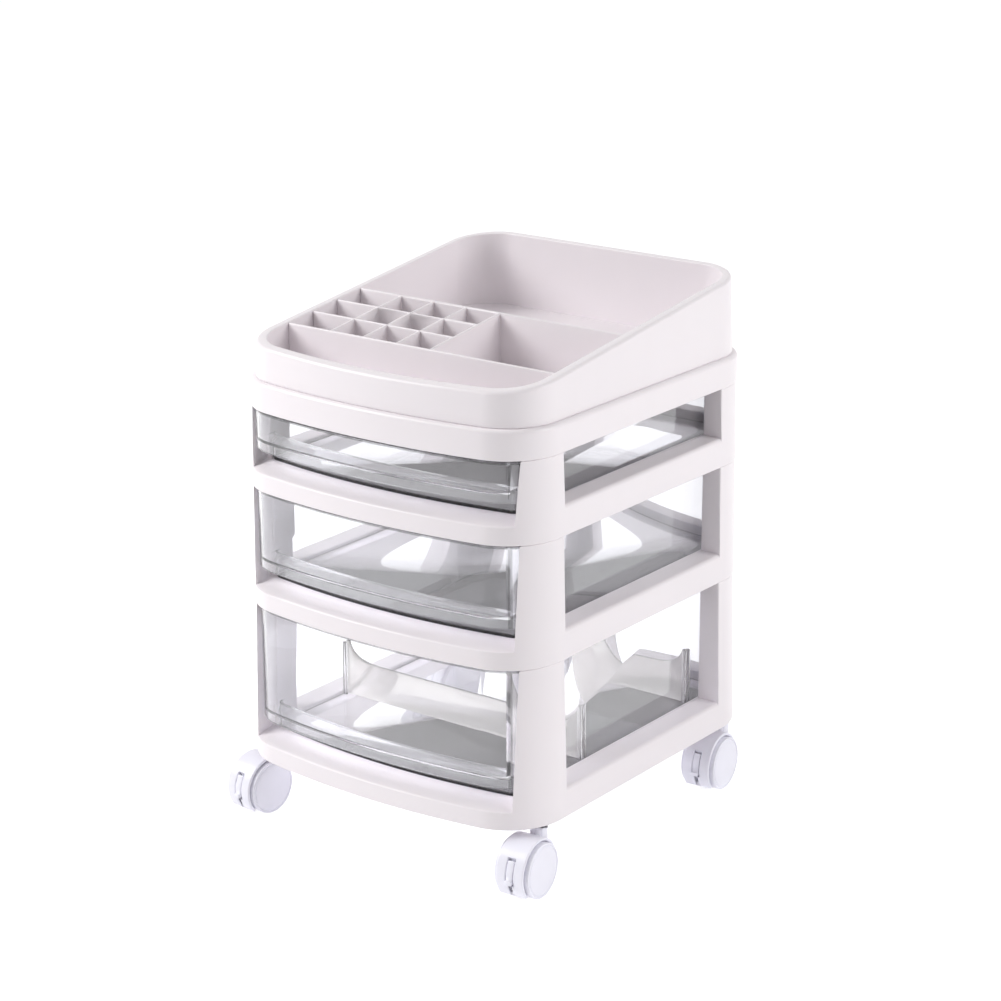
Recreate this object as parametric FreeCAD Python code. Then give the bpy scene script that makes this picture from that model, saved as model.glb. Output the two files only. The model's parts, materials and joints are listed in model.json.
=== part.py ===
"""Rolling cosmetic drawer tower: a slanted tray on three stacked tier frames with clear drawers, on casters.

Millimetres. +Z is up and the front faces -Y. The origin is on the floor, under the middle of the body.
"""

import FreeCAD
import Part
import math
import os

V = FreeCAD.Vector

# Body plan: straight sides and back, a bowed front and four large round corners
BODY_W = 260.0
BODY_D = 302.0
FRONT_BOW = 14.7
CORNER_R = 43.0

# Heights of the stack, from the floor up
CASTER_H = 48.0
LOWER_TIER_H = 117.0
MIDDLE_TIER_H = 89.0
UPPER_TIER_H = 59.0
TOP_FRAME_H = 21.5

# How far the foot of each tier stands out past the plan
LOWER_FLARE = 3.2
MIDDLE_FLARE = 1.2
UPPER_FLARE = 0.7

# Rails of a tier frame
SILL_H = 22.0
SILL_EDGE_R = 3.0
LEDGE_H = 17.5
FRONT_EDGE_H = 13.5
FRONT_SLOPE_W = 12.0
BACK_RAIL_H = 27.0
BACK_RAIL_T = 14.0
LEDGE_W = 13.0
FRONT_LEDGE_W = 32.0
OPENING_R = 14.0
RAIL_SHELL_H = 11.0
WALL = 2.5
RIB_T = 1.8
RIB_PITCH = 62.0
RIB_PAIRS = 1

# Posts of a tier frame
POST_T = 16.0
FRONT_POST_REACH = 56.5
REAR_POST_REACH = 50.0
FRONT_POST_FACE_W = 12.5
REAR_POST_FACE_W = 30.0
OPENING_LEAN = 1.0
POST_SHY = 0.6
POST_STEP_REACH = 33.5
BAY_R = 24.0
SPIGOT_H = 7.0
SPIGOT_L = 12.0
SPIGOT_T = 8.0
SPIGOT_INSET = 5.0
FRONT_SPIGOT_REACH = 42.0
REAR_SPIGOT_REACH = 48.0

# Drawers
DRAWER_WALL = 2.2
DRAWER_FLOOR_T = 2.2
SILL_INNER_STEP = 2.0
DRAWER_SIDE_GAP = 1.0
DRAWER_BACK_GAP = 0.5
DRAWER_LIFT = 0.3
DRAWER_TOP_GAP = 1.3
PANEL_INSET = 2.5
PANEL_SIDE_GAP = 0.8
PULL_SETBACK = 17.0
PULL_LIP_H = 29.0
PULL_SHELF_H = 37.5
DRAWER_FRONT_R = 9.0
DRAWER_REAR_R = 22.0

# Lift-out dividers of the lower drawer, and the pairs of ribs that hold them
DIVIDER_T = 2.2
DIVIDER_END_H = 42.0
DIVIDER_MID_H = 28.0
DIVIDER_END_W = 4.0
DIVIDER_SWEEP_W = 30.0
DIVIDER_SEAT = 0.2
DIVIDER_FOOT_R = 5.0
DIVIDER_DIP = 3.0
DIVIDER_DIP_AT = 0.12
DIVIDER_LEVEL_AT = 0.45
FRONT_DIVIDER_REACH = 108.0
REAR_DIVIDER_REACH = 59.0
SLOT_RIB_T = 2.0
SLOT_RIB_DEPTH = 3.0
SLOT_FIT = 0.3

# Top frame
TOP_EDGE_BEVEL = 1.8
TOP_OPENING_INSET = 20.0
TOP_RIB_FOOT = 9.0

# Tray
TRAY_INSET = 3.8
TRAY_DRAFT_DEG = 2.0
TRAY_BOWL_INSET = 12.5
TRAY_FLOOR_T = 2.2
TRAY_FLOOR_LIFT = 0.3
TRAY_WALL = 2.2
RIM_FRONT_H = 23.5
RIM_SLOPE_DEG = 7.0
RIM_BEVEL = 1.6
RIM_SKIN_T = 2.6
TRAY_FRONT_ROOM = 62.5
TRAY_GRID_D = 81.0
TRAY_DIVIDER_T = 2.2
TRAY_DIVIDER_DROP = 0.8
CELL_WALL_T = 1.8
CELL_COLUMNS = 3
CELL_ROWS = 3
CELL_PITCH_X = 29.8
CELL_RIGHT_X = 10.5
SEAT_LIP_H = 4.0
SEAT_LIP_T = 1.6
SEAT_LIP_FIT = 0.5

# Casters: twin wheels under a hood that trails its stem
WHEEL_R = 20.0
CASTER_HALF_W = 14.5
WHEEL_GAP = 4.4
CASTER_TRAIL = 16.5
CASTER_TOE_DEG = 4.5
STEM_INSET = 8.5
FRONT_STEM_REACH = 39.0
REAR_STEM_REACH = 28.5
AXLE_R = 2.0
AXLE_HALF_L = 12.2
AXLE_END_GAP = 0.3
RUNNING_FIT = 0.05
PRESS_FIT = 0.02
HOOD_GAP = 0.6
HOOD_T = 2.4
HOOD_HALF_W = 11.0
HOOD_FRONT_DEG = -42.0
HOOD_REAR_DEG = 150.0
HOOD_WEB_DEG = -30.0
HOOD_WEB_T = 3.2
HOOD_HUB_R = 5.2
COLLAR_R = 6.3
COLLAR_TOP_Z = 45.4
COLLAR_FOOT_Z = 30.0
STEM_R = 3.5
STEM_FOOT_Z = 36.8
STEM_FOOT_GAP = 0.3
STEM_FLANGE_R = 5.6
STEM_FLANGE_T = 2.2
STEM_L = 20.0
BOSS_R = 7.4
BOSS_H = 25.0
BORE_SPARE = 1.0

# Brake lever in the hood's front slot
LEVER_HALF_W = 2.6
LEVER_SIDE_FIT = 0.4
LEVER_FOOT_DEG = -11.0
LEVER_PIVOT_DEG = 29.0
LEVER_SLOT_TOP_DEG = 37.0
LEVER_SLOT_FOOT_DEG = -14.0
LEVER_MID_DEG = 10.0
SLOT_BACK_R = 17.0
WHEEL_SLIT_HALF_W = 1.4
PEDAL_T = 2.0
PEDAL_ARC_DEG = 7.0

# Drawing allowances: how far cuts run past a face, and how deep added parts root in one
OVERCUT = 1.0
ROOT = 0.5
SLIVER = 0.1
RIM_SEARCH_H = 5.0
SAME_PLACE = 0.05

# Places that follow from the sizes above
LOWER_Z = CASTER_H
MIDDLE_Z = LOWER_Z + LOWER_TIER_H
UPPER_Z = MIDDLE_Z + MIDDLE_TIER_H
TOP_FRAME_Z = UPPER_Z + UPPER_TIER_H
TRAY_Z = TOP_FRAME_Z + TOP_FRAME_H
HALF_W = BODY_W / 2
HALF_D = BODY_D / 2
BOW_R = (HALF_W ** 2 + FRONT_BOW ** 2) / (2 * FRONT_BOW)
BOW_Y = BOW_R - HALF_D
POST_INNER_X = HALF_W - POST_T
FRONT_POST_END = FRONT_POST_REACH - HALF_D
REAR_POST_END = HALF_D - REAR_POST_REACH
POST_STEP_Y = POST_STEP_REACH - HALF_D
SILL_INNER_X = POST_INNER_X - SILL_INNER_STEP
DRAWER_X = SILL_INNER_X - DRAWER_SIDE_GAP
FRONT_OPENING_X = HALF_W - FRONT_POST_FACE_W
BACK_OPENING_X = HALF_W - REAR_POST_FACE_W
SPIGOT_X = HALF_W - SPIGOT_INSET
SPIGOT_PLACES = (FRONT_SPIGOT_REACH - HALF_D, HALF_D - REAR_SPIGOT_REACH)
FRONT_DIVIDER_Y = FRONT_DIVIDER_REACH - HALF_D
REAR_DIVIDER_Y = HALF_D - REAR_DIVIDER_REACH
TRAY_FRONT_DIVIDER_Y = TRAY_FRONT_ROOM - HALF_D
TRAY_MIDDLE_DIVIDER_Y = TRAY_FRONT_DIVIDER_Y + TRAY_GRID_D
TRAY_FLOOR_Z = TRAY_Z + TRAY_FLOOR_LIFT + TRAY_FLOOR_T
STEM_X = HALF_W - STEM_INSET
FRONT_STEM_Y = FRONT_STEM_REACH - HALF_D
REAR_STEM_Y = HALF_D - REAR_STEM_REACH
BACK_RAIL_Y = HALF_D - BACK_RAIL_T
DRAWER_BACK_Y = BACK_RAIL_Y - DRAWER_BACK_GAP
LEDGE_X = SILL_INNER_X - LEDGE_W
LEDGE_FRONT_Y = FRONT_LEDGE_W - HALF_D
LEDGE_BACK_Y = BACK_RAIL_Y - LEDGE_W
HOOD_R = WHEEL_R + HOOD_GAP + HOOD_T
PIVOT_R = HOOD_R - HOOD_T / 2
FAR = 2 * BODY_D


# Drawing helpers

def arc(centre_x, centre_y, radius, start_deg, end_deg, z):
    """A flat arc about (centre_x, centre_y) from one bearing to another."""
    points = []
    for bearing in (start_deg, (start_deg + end_deg) / 2, end_deg):
        turn = math.radians(bearing)
        points.append(V(centre_x + radius * math.cos(turn), centre_y + radius * math.sin(turn), z))
    return Part.Arc(points[0], points[1], points[2]).toShape()


def line(start, end):
    return Part.LineSegment(start, end).toShape()


def box(x0, y0, z0, x1, y1, z1):
    """A box between two corners."""
    return Part.makeBox(x1 - x0, y1 - y0, z1 - z0, V(x0, y0, z0))


def wide_box(half_w, y0, z0, y1, z1):
    """A box that spans the middle plane."""
    return box(-half_w, y0, z0, half_w, y1, z1)


def polygon(points):
    return Part.Face(Part.makePolygon(points + [points[0]]))


def mirrored(shape):
    """The shape's twin on the other side of the middle plane."""
    return shape.mirror(V(0, 0, 0), V(1, 0, 0))


def both_sides(shape):
    return [shape, mirrored(shape)]


def softened(shape, radius, wanted):
    """Rounds the edges for which wanted(edge) holds."""
    edges = [edge for edge in shape.Edges if wanted(edge)]
    if not edges:
        raise ValueError("no edge to round")
    return shape.makeFillet(radius, edges)


def is_upright(edge):
    ends = edge.Vertexes
    if len(ends) < 2:
        return False
    run = ends[1].Point - ends[0].Point
    return abs(run.z) > 0.9 * run.Length and run.Length > 5


def save(shape, name):
    """Writes one node, after a check that its solids are sound."""
    solids = shape.Solids
    if not solids or not all(solid.isValid() for solid in solids):
        raise ValueError("unsound shape for " + name)
    shape = solids[0] if len(solids) == 1 else Part.makeCompound(solids)
    shape.exportStep("parts/" + name + ".step")
    print(name, len(solids), "solid(s)", round(shape.Volume / 1000, 1), "cm3")


# Plan outlines

def bowed_wire(half, bow, front_r, rear_y, rear_r, z):
    """A plan with straight sides and back, a bowed front and round corners."""
    front_x = half - front_r
    front_y = BOW_Y - math.sqrt((bow - front_r) ** 2 - front_x ** 2)
    rear_x = half - rear_r
    side_y = rear_y - rear_r
    tangent = math.degrees(math.atan2(front_y - BOW_Y, front_x))
    return Part.Wire([
        arc(0, BOW_Y, bow, -180 - tangent, tangent, z),
        arc(front_x, front_y, front_r, tangent, 0, z),
        line(V(half, front_y, z), V(half, side_y, z)),
        arc(rear_x, side_y, rear_r, 0, 90, z),
        line(V(rear_x, rear_y, z), V(-rear_x, rear_y, z)),
        arc(-rear_x, side_y, rear_r, 90, 180, z),
        line(V(-half, side_y, z), V(-half, front_y, z)),
        arc(-front_x, front_y, front_r, 180, 180 - tangent, z),
    ])


def plan_wire(inset, z):
    """The body's plan, drawn in all round by inset."""
    corner = CORNER_R - inset
    return bowed_wire(HALF_W - inset, BOW_R - inset, corner, HALF_D - inset, corner, z)


def plan_prism(inset, z0, z1):
    """The body's plan as a straight block."""
    return Part.Face(plan_wire(inset, z0)).extrude(V(0, 0, z1 - z0))


def plan_taper(inset0, z0, inset1, z1):
    """The body's plan as a block whose walls lean from one inset to another."""
    return Part.makeLoft([plan_wire(inset0, z0), plan_wire(inset1, z1)], True, True)


def bay_prism(half, rear_y, corner, z0, z1):
    """The drawer bay: open to the front, with two round corners at the rear."""
    block = wide_box(half, -FAR, z0, rear_y, z1)
    return softened(block, corner, lambda edge: is_upright(edge) and edge.Vertexes[0].Y > 0)


def opening_prism(grow, z0, z1):
    """The open middle of a tier's ledge, let out all round by grow."""
    block = wide_box(LEDGE_X + grow, LEDGE_FRONT_Y - grow, z0, LEDGE_BACK_Y + grow, z1)
    return softened(block, OPENING_R + grow, is_upright)


def front_gap(side_gap, z0, foot_z, top_z, height):
    """The opening between the front posts: slightly wider at the top than at the foot."""
    foot = FRONT_OPENING_X - side_gap - OPENING_LEAN
    top = FRONT_OPENING_X - side_gap + OPENING_LEAN

    def half_at(z):
        return foot + (top - foot) * (z - LEDGE_H) / (height - LEDGE_H)

    low = half_at(foot_z)
    high = half_at(top_z)
    face = polygon([V(-low, -FAR, z0 + foot_z), V(low, -FAR, z0 + foot_z),
                    V(high, -FAR, z0 + top_z), V(-high, -FAR, z0 + top_z)])
    return face.extrude(V(0, FAR + POST_STEP_Y - side_gap, 0))


# Tier frames

def outset_at(flare, next_flare, height, z):
    """How far a tier's outer face stands out past the plan at a height above its foot."""
    top = next_flare - POST_SHY
    return flare + (top - flare) * z / height


def sill_edge(z0, outset):
    """The sliver that rounds the outer edge of the right sill."""
    x = HALF_W + outset
    y = FRONT_POST_END
    top = z0 + SILL_H
    r = SILL_EDGE_R
    s = math.sqrt(0.5)
    curve = Part.Arc(V(x - r, y, top), V(x - r + r * s, y, top - r + r * s), V(x, y, top - r)).toShape()
    edge = Part.Wire([
        curve,
        line(V(x, y, top - r), V(x + r, y, top - r)),
        line(V(x + r, y, top - r), V(x + r, y, top + OVERCUT)),
        line(V(x + r, y, top + OVERCUT), V(x - r, y, top + OVERCUT)),
        line(V(x - r, y, top + OVERCUT), V(x - r, y, top)),
    ])
    return Part.Face(edge).extrude(V(0, REAR_POST_END - FRONT_POST_END, 0))


def front_post_zone(grow, z0, z1):
    """Where the right front post stands, drawn in by grow on its inner sides."""
    corner = box(FRONT_OPENING_X + OPENING_LEAN + grow, -FAR, z0, FAR, FRONT_POST_END - grow, z1)
    leg = box(POST_INNER_X + grow, POST_STEP_Y + grow, z0, FAR, FRONT_POST_END - grow, z1)
    return corner.fuse(leg)


def rear_post_zone(grow, z0, z1):
    """Where the right rear post stands, drawn in by grow on its inner sides."""
    block = box(BACK_OPENING_X + grow, REAR_POST_END + grow, z0, FAR, FAR, z1)
    bay = bay_prism(POST_INNER_X + grow, BACK_RAIL_Y + grow, BAY_R + grow, z0 - OVERCUT, z1 + OVERCUT)
    return block.cut(bay)


def post_zones(grow, z0, z1):
    zones = []
    for zone in (front_post_zone(grow, z0, z1), rear_post_zone(grow, z0, z1)):
        zones += both_sides(zone)
    return zones[0].multiFuse(zones[1:])


def tier_outer(z0, height, flare, next_flare):
    """The blank of a tier with its drawer bay, windows and front and back openings cut away."""
    ledge = z0 + LEDGE_H
    sill = z0 + SILL_H
    top = z0 + height
    blank = plan_taper(-flare, z0, POST_SHY - next_flare, top)
    cuts = [
        bay_prism(SILL_INNER_X, BACK_RAIL_Y, BAY_R - SILL_INNER_STEP, ledge, sill + OVERCUT),
        bay_prism(POST_INNER_X, BACK_RAIL_Y, BAY_R, sill, top + OVERCUT),
        front_gap(0, z0, LEDGE_H, height + OVERCUT, height),
        wide_box(BACK_OPENING_X, 0, z0 + BACK_RAIL_H, FAR, top + OVERCUT),
        wide_box(FAR, FRONT_POST_END, sill, REAR_POST_END, top + OVERCUT),
    ]
    frame = blank.cut(cuts)
    outset = outset_at(flare, next_flare, height, SILL_H - SILL_EDGE_R)
    return frame.cut(both_sides(sill_edge(z0, outset)))


def front_slope(z0, flare, next_flare, height):
    """What is cut from the front rail so that its top falls forward from the ledge."""
    edge_outset = outset_at(flare, next_flare, height, FRONT_EDGE_H)
    region = front_gap(0, z0, FRONT_EDGE_H, LEDGE_H + OVERCUT, height)
    roof = plan_taper(-edge_outset, z0 + FRONT_EDGE_H, FRONT_SLOPE_W, z0 + LEDGE_H)
    base = plan_prism(-edge_outset, z0 + FRONT_EDGE_H - OVERCUT, z0 + FRONT_EDGE_H)
    behind = wide_box(FAR, LEDGE_FRONT_Y, z0, FAR, z0 + height)
    return region.cut([roof, base, behind])


def rail_hollow(z0, flare):
    """The hollow underside of the rails: what the mould's core leaves open."""
    channel = plan_prism(WALL - flare, z0 - OVERCUT, z0 + RAIL_SHELL_H)
    channel = channel.cut(opening_prism(WALL, z0 - 2 * OVERCUT, z0 + SILL_H))
    sill = box(SILL_INNER_X + WALL, FRONT_POST_END, z0, HALF_W - WALL, REAR_POST_END, z0 + SILL_H - WALL)
    return channel.multiFuse(both_sides(sill))


def rib_places():
    """Front faces of the cross ribs."""
    return [step * RIB_PITCH - RIB_T / 2 for step in range(-RIB_PAIRS, RIB_PAIRS + 1)]


def rail_ribs(z0):
    """Cross ribs that stiffen the hollow side rails."""
    ribs = []
    for low in rib_places():
        ribs += both_sides(box(LEDGE_X + ROOT, low, z0 + OVERCUT, HALF_W - ROOT, low + RIB_T,
                               z0 + RAIL_SHELL_H + ROOT))
    return ribs


def caster_bosses(z0, flare):
    """Bosses in the lower corners that the caster stems are pushed into."""
    bosses = []
    for x, y in stem_places():
        bosses.append(Part.makeCylinder(BOSS_R, BOSS_H, V(x, y, z0)))
    inside = plan_prism(WALL / 2 - flare, z0 - OVERCUT, z0 + BOSS_H + OVERCUT)
    return [boss.common(inside) for boss in bosses]


def stem_places():
    return [(side * STEM_X, y) for side in (1, -1) for y in (FRONT_STEM_Y, REAR_STEM_Y)]


def tier_frame(z0, height, flare, next_flare, carries_casters):
    """One tier: a hollow bottom ring and four hollow posts with spigots for the ring above."""
    top = z0 + height
    frame = tier_outer(z0, height, flare, next_flare)
    frame = frame.cut(front_slope(z0, flare, next_flare, height))
    frame = frame.cut(opening_prism(0, z0 - OVERCUT, z0 + SILL_H))
    post_core = plan_prism(WALL + POST_SHY - next_flare, z0 - OVERCUT, top - WALL)
    post_core = post_core.common(post_zones(WALL, z0 - 2 * OVERCUT, top))
    frame = frame.cut([rail_hollow(z0, flare), post_core])
    parts = rail_ribs(z0)
    for y in SPIGOT_PLACES:
        parts += both_sides(box(SPIGOT_X - SPIGOT_T, y, top - ROOT, SPIGOT_X, y + SPIGOT_L, top + SPIGOT_H))
    if carries_casters:
        parts += caster_bosses(z0, flare)
    frame = frame.multiFuse(parts)
    if carries_casters:
        depth = STEM_L + BORE_SPARE
        for x, y in stem_places():
            frame = frame.cut(Part.makeCylinder(STEM_R + PRESS_FIT, depth + OVERCUT, V(x, y, z0 - OVERCUT)))
    return frame.removeSplitter()


def top_frame():
    """The plain band that closes the stack and carries the tray."""
    top = TRAY_Z
    band = plan_prism(0, TOP_FRAME_Z, top)
    band = band.makeChamfer(TOP_EDGE_BEVEL, [edge for edge in band.Edges
                                             if edge.BoundBox.ZMin > top - SAME_PLACE])
    band = band.cut(plan_prism(TOP_OPENING_INSET, TOP_FRAME_Z - OVERCUT, top + OVERCUT))
    core = plan_prism(WALL, TOP_FRAME_Z - OVERCUT, top - WALL)
    core = core.cut(plan_prism(TOP_OPENING_INSET - WALL, TOP_FRAME_Z - 2 * OVERCUT, top))
    band = band.cut(core)
    ribs = []
    for low in rib_places():
        ribs += both_sides(box(HALF_W - TOP_OPENING_INSET + ROOT, low, TOP_FRAME_Z + TOP_RIB_FOOT,
                               HALF_W - ROOT, low + RIB_T, top - WALL + ROOT))
    return band.multiFuse(ribs).removeSplitter()


# Drawers and their dividers

def drawer(z0, height, divider_places):
    """A thin clear drawer: bowed front panel, lip with a shelf behind it and a set-back finger pull below."""
    floor = z0 + LEDGE_H + DRAWER_LIFT
    lip = z0 + PULL_LIP_H
    shelf = z0 + PULL_SHELF_H
    top = z0 + height - DRAWER_TOP_GAP
    pull_bow = BOW_R - PANEL_INSET - PULL_SETBACK
    inner_x = DRAWER_X - DRAWER_WALL
    inner_back = DRAWER_BACK_Y - DRAWER_WALL
    inner_r = DRAWER_REAR_R - DRAWER_WALL

    upper = plan_prism(PANEL_INSET, shelf - DRAWER_WALL, top)
    upper = upper.common(bay_prism(DRAWER_X, DRAWER_BACK_Y, DRAWER_REAR_R, floor, top))
    lower = bowed_wire(DRAWER_X, pull_bow, DRAWER_FRONT_R, DRAWER_BACK_Y, DRAWER_REAR_R, floor)
    lower = Part.Face(lower).extrude(V(0, 0, shelf - floor - SLIVER))
    panel = plan_prism(PANEL_INSET, lip, top)
    panel = panel.cut(plan_prism(PANEL_INSET + DRAWER_WALL, lip - OVERCUT, top + OVERCUT))
    panel = panel.common(front_gap(PANEL_SIDE_GAP, z0, PULL_LIP_H, height - DRAWER_TOP_GAP, height))

    upper_room = plan_prism(PANEL_INSET + DRAWER_WALL, shelf, top + OVERCUT)
    upper_room = upper_room.common(bay_prism(inner_x, inner_back, inner_r, floor, top + 2 * OVERCUT))
    lower_room = bowed_wire(inner_x, pull_bow - DRAWER_WALL, DRAWER_FRONT_R - DRAWER_WALL, inner_back,
                            inner_r, floor + DRAWER_FLOOR_T)
    lower_room = Part.Face(lower_room).extrude(V(0, 0, shelf - floor))
    shape = upper.multiFuse([lower, panel]).cut([upper_room, lower_room])

    ribs = []
    for y in divider_places:
        for way in (-1, 1):
            near = y + way * (DIVIDER_T / 2 + SLOT_FIT)
            far = near + way * SLOT_RIB_T
            ribs += both_sides(box(inner_x - SLOT_RIB_DEPTH, min(near, far), floor + DRAWER_FLOOR_T - ROOT,
                                   inner_x + ROOT, max(near, far), floor + DRAWER_FLOOR_T + DIVIDER_END_H))
    if ribs:
        shape = shape.multiFuse(ribs)
    return shape.removeSplitter()


def drawer_divider(y):
    """A lift-out cross wall: high at the drawer's sides, swept down to a level middle, round at its feet."""
    foot = LOWER_Z + LEDGE_H + DRAWER_LIFT + DRAWER_FLOOR_T + DIVIDER_SEAT
    half = DRAWER_X - DRAWER_WALL - SLOT_FIT
    bend = half - DIVIDER_END_W
    flat = bend - DIVIDER_SWEEP_W
    high = foot + DIVIDER_END_H
    low = foot + DIVIDER_MID_H

    def sweep(side):
        dip = bend - DIVIDER_DIP_AT * DIVIDER_SWEEP_W
        level = bend - DIVIDER_LEVEL_AT * DIVIDER_SWEEP_W
        poles = [V(side * bend, 0, high), V(side * dip, 0, low + DIVIDER_DIP),
                 V(side * level, 0, low), V(side * flat, 0, low)]
        curve = Part.BezierCurve()
        curve.setPoles(poles)
        return curve.toShape()

    outline = Part.Wire(Part.__sortEdges__([
        line(V(-half, 0, foot), V(half, 0, foot)),
        line(V(half, 0, foot), V(half, 0, high)),
        line(V(half, 0, high), V(bend, 0, high)),
        sweep(1),
        line(V(flat, 0, low), V(-flat, 0, low)),
        sweep(-1),
        line(V(-bend, 0, high), V(-half, 0, high)),
        line(V(-half, 0, high), V(-half, 0, foot)),
    ]))
    plate = Part.Face(outline).extrude(V(0, DIVIDER_T, 0))
    plate.translate(V(0, y - DIVIDER_T / 2, 0))

    def at_foot(edge):
        centre = edge.CenterOfMass
        return abs(abs(centre.x) - half) < SAME_PLACE and abs(centre.z - foot) < SAME_PLACE

    return softened(plate, DIVIDER_FOOT_R, at_foot)


# Tray

def rim_z(y, drop):
    """Height of the slanted rim plane at a depth, lowered by drop."""
    rise = math.tan(math.radians(RIM_SLOPE_DEG))
    return TRAY_Z + RIM_FRONT_H + (y + HALF_D - TRAY_INSET) * rise - drop


def under_rim(foot_z, drop):
    """Everything from foot_z up to the slanted rim plane."""
    reach = HALF_D + 2 * OVERCUT
    side = polygon([V(-FAR, -reach, foot_z), V(-FAR, reach, foot_z),
                    V(-FAR, reach, rim_z(reach, drop)), V(-FAR, -reach, rim_z(-reach, drop))])
    return side.extrude(V(2 * FAR, 0, 0))


def tray_partitions():
    """The walls between the tray's compartments, as upright panels that meet face to face."""
    bowl_x = HALF_W - TRAY_BOWL_INSET
    top = rim_z(HALF_D, 0)
    half = TRAY_DIVIDER_T / 2
    near = TRAY_FRONT_DIVIDER_Y + half
    far = TRAY_MIDDLE_DIVIDER_Y - half
    panels = []
    for y in (TRAY_FRONT_DIVIDER_Y, TRAY_MIDDLE_DIVIDER_Y):
        panels.append(wide_box(bowl_x, y - half, TRAY_FLOOR_Z, y + half, top))
    half = CELL_WALL_T / 2
    left = CELL_RIGHT_X - CELL_COLUMNS * CELL_PITCH_X
    columns = [left + column * CELL_PITCH_X for column in range(CELL_COLUMNS + 1)]
    for x in columns:
        panels.append(box(x - half, near, TRAY_FLOOR_Z, x + half, far, top))
    row_pitch = TRAY_GRID_D / CELL_ROWS
    starts = [-bowl_x] + [x + half for x in columns[:-1]]
    for row in range(1, CELL_ROWS):
        y = TRAY_FRONT_DIVIDER_Y + row * row_pitch
        for start, column in zip(starts, columns):
            panels.append(box(start, y - half, TRAY_FLOOR_Z, column - half, y + half, top))
    room = under_rim(TRAY_Z, TRAY_DIVIDER_DROP)
    return Part.makeCompound([panel.common(room) for panel in panels])


def tray():
    """The slanted top tray: outer skirt, rolled rim, inner bowl and a lip that seats it."""
    top = rim_z(HALF_D, 0) + OVERCUT
    lean = math.tan(math.radians(TRAY_DRAFT_DEG)) * (top - TRAY_Z)
    block = plan_taper(TRAY_INSET, TRAY_Z, TRAY_INSET + lean, top).common(under_rim(TRAY_Z - OVERCUT, 0))

    def on_rim(edge):
        slanted = all(abs(v.Z - rim_z(v.Y, 0)) < SAME_PLACE for v in edge.Vertexes)
        return slanted and edge.CenterOfMass.z > TRAY_Z + RIM_SEARCH_H

    block = block.makeChamfer(RIM_BEVEL, [edge for edge in block.Edges if on_rim(edge)])
    bowl = plan_prism(TRAY_BOWL_INSET, TRAY_FLOOR_Z, top + OVERCUT)
    inner = TRAY_BOWL_INSET - TRAY_WALL
    foot = TRAY_Z - OVERCUT
    under_floor = TRAY_Z + TRAY_FLOOR_LIFT
    jacket = plan_prism(TRAY_INSET + TRAY_WALL + lean / 2, foot, top)
    jacket = jacket.common(under_rim(foot, RIM_SKIN_T)).cut(plan_prism(inner, foot - OVERCUT, top + OVERCUT))
    recess = plan_prism(inner - SLIVER, foot, under_floor)
    shape = block.cut([bowl, jacket, recess])
    lip_inset = TOP_OPENING_INSET + SEAT_LIP_FIT
    lip = plan_prism(lip_inset, TRAY_Z - SEAT_LIP_H, under_floor + ROOT)
    lip = lip.cut(plan_prism(lip_inset + SEAT_LIP_T, foot - SEAT_LIP_H, under_floor + 2 * ROOT))
    return shape.fuse(lip).removeSplitter()


# Casters, drawn with the stem on the Z axis and the wheels trailing towards -Y

def about_axle(shape, degrees):
    """Turns a shape about the wheel axle, top towards the front for positive degrees."""
    shape = shape.copy()
    shape.rotate(V(0, -CASTER_TRAIL, WHEEL_R), V(1, 0, 0), degrees)
    return shape


def axle_sector(half_w, r0, r1, start_deg, end_deg):
    """A ring sector about the axle. Bearings run from level front, 0, over the top, 90, to the rear."""
    y = -CASTER_TRAIL
    face = polygon([V(-half_w, y, WHEEL_R + r0), V(half_w, y, WHEEL_R + r0),
                    V(half_w, y, WHEEL_R + r1), V(-half_w, y, WHEEL_R + r1)])
    sector = face.revolve(V(0, y, WHEEL_R), V(1, 0, 0), end_deg - start_deg)
    return about_axle(sector, 90 - end_deg)


def across(radius, x0, x1):
    """A cylinder along the axle."""
    return Part.makeCylinder(radius, x1 - x0, V(x0, -CASTER_TRAIL, WHEEL_R), V(1, 0, 0))


def hood_point(radius, degrees):
    """Depth and height of a point on the hood, by its distance from the axle and its bearing."""
    turn = math.radians(degrees)
    return -CASTER_TRAIL - radius * math.cos(turn), WHEEL_R + radius * math.sin(turn)


def hood():
    """The caster's body: a hood over both treads, a middle web with the axle hub, and the swivel collar."""
    tread = WHEEL_R + HOOD_GAP
    shell = axle_sector(HOOD_HALF_W, tread, HOOD_R, HOOD_FRONT_DEG, HOOD_REAR_DEG)
    collar = Part.makeCylinder(COLLAR_R, COLLAR_TOP_Z - COLLAR_FOOT_Z, V(0, 0, COLLAR_FOOT_Z))
    collar = collar.cut(across(tread, -CASTER_HALF_W, CASTER_HALF_W))
    web = axle_sector(HOOD_WEB_T / 2, ROOT, tread + ROOT, HOOD_WEB_DEG, HOOD_REAR_DEG)
    hub = across(HOOD_HUB_R, -HOOD_WEB_T / 2, HOOD_WEB_T / 2)
    body = shell.multiFuse([collar, web, hub])
    slot_back = -CASTER_TRAIL - SLOT_BACK_R
    slot_foot = hood_point(HOOD_R, LEVER_SLOT_FOOT_DEG)[1]
    slot_top = hood_point(HOOD_R, LEVER_SLOT_TOP_DEG)[1]
    slot = wide_box(LEVER_HALF_W + LEVER_SIDE_FIT, -FAR, slot_foot, slot_back, slot_top)
    slit = wide_box(WHEEL_SLIT_HALF_W, -FAR, 0, slot_back, slot_foot + OVERCUT)
    bore = Part.makeCylinder(STEM_R + RUNNING_FIT, FAR, V(0, 0, STEM_FOOT_Z - STEM_FOOT_GAP))
    return body.cut([slot, slit, bore, across(AXLE_R + PRESS_FIT, -WHEEL_GAP, WHEEL_GAP)]).removeSplitter()


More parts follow.
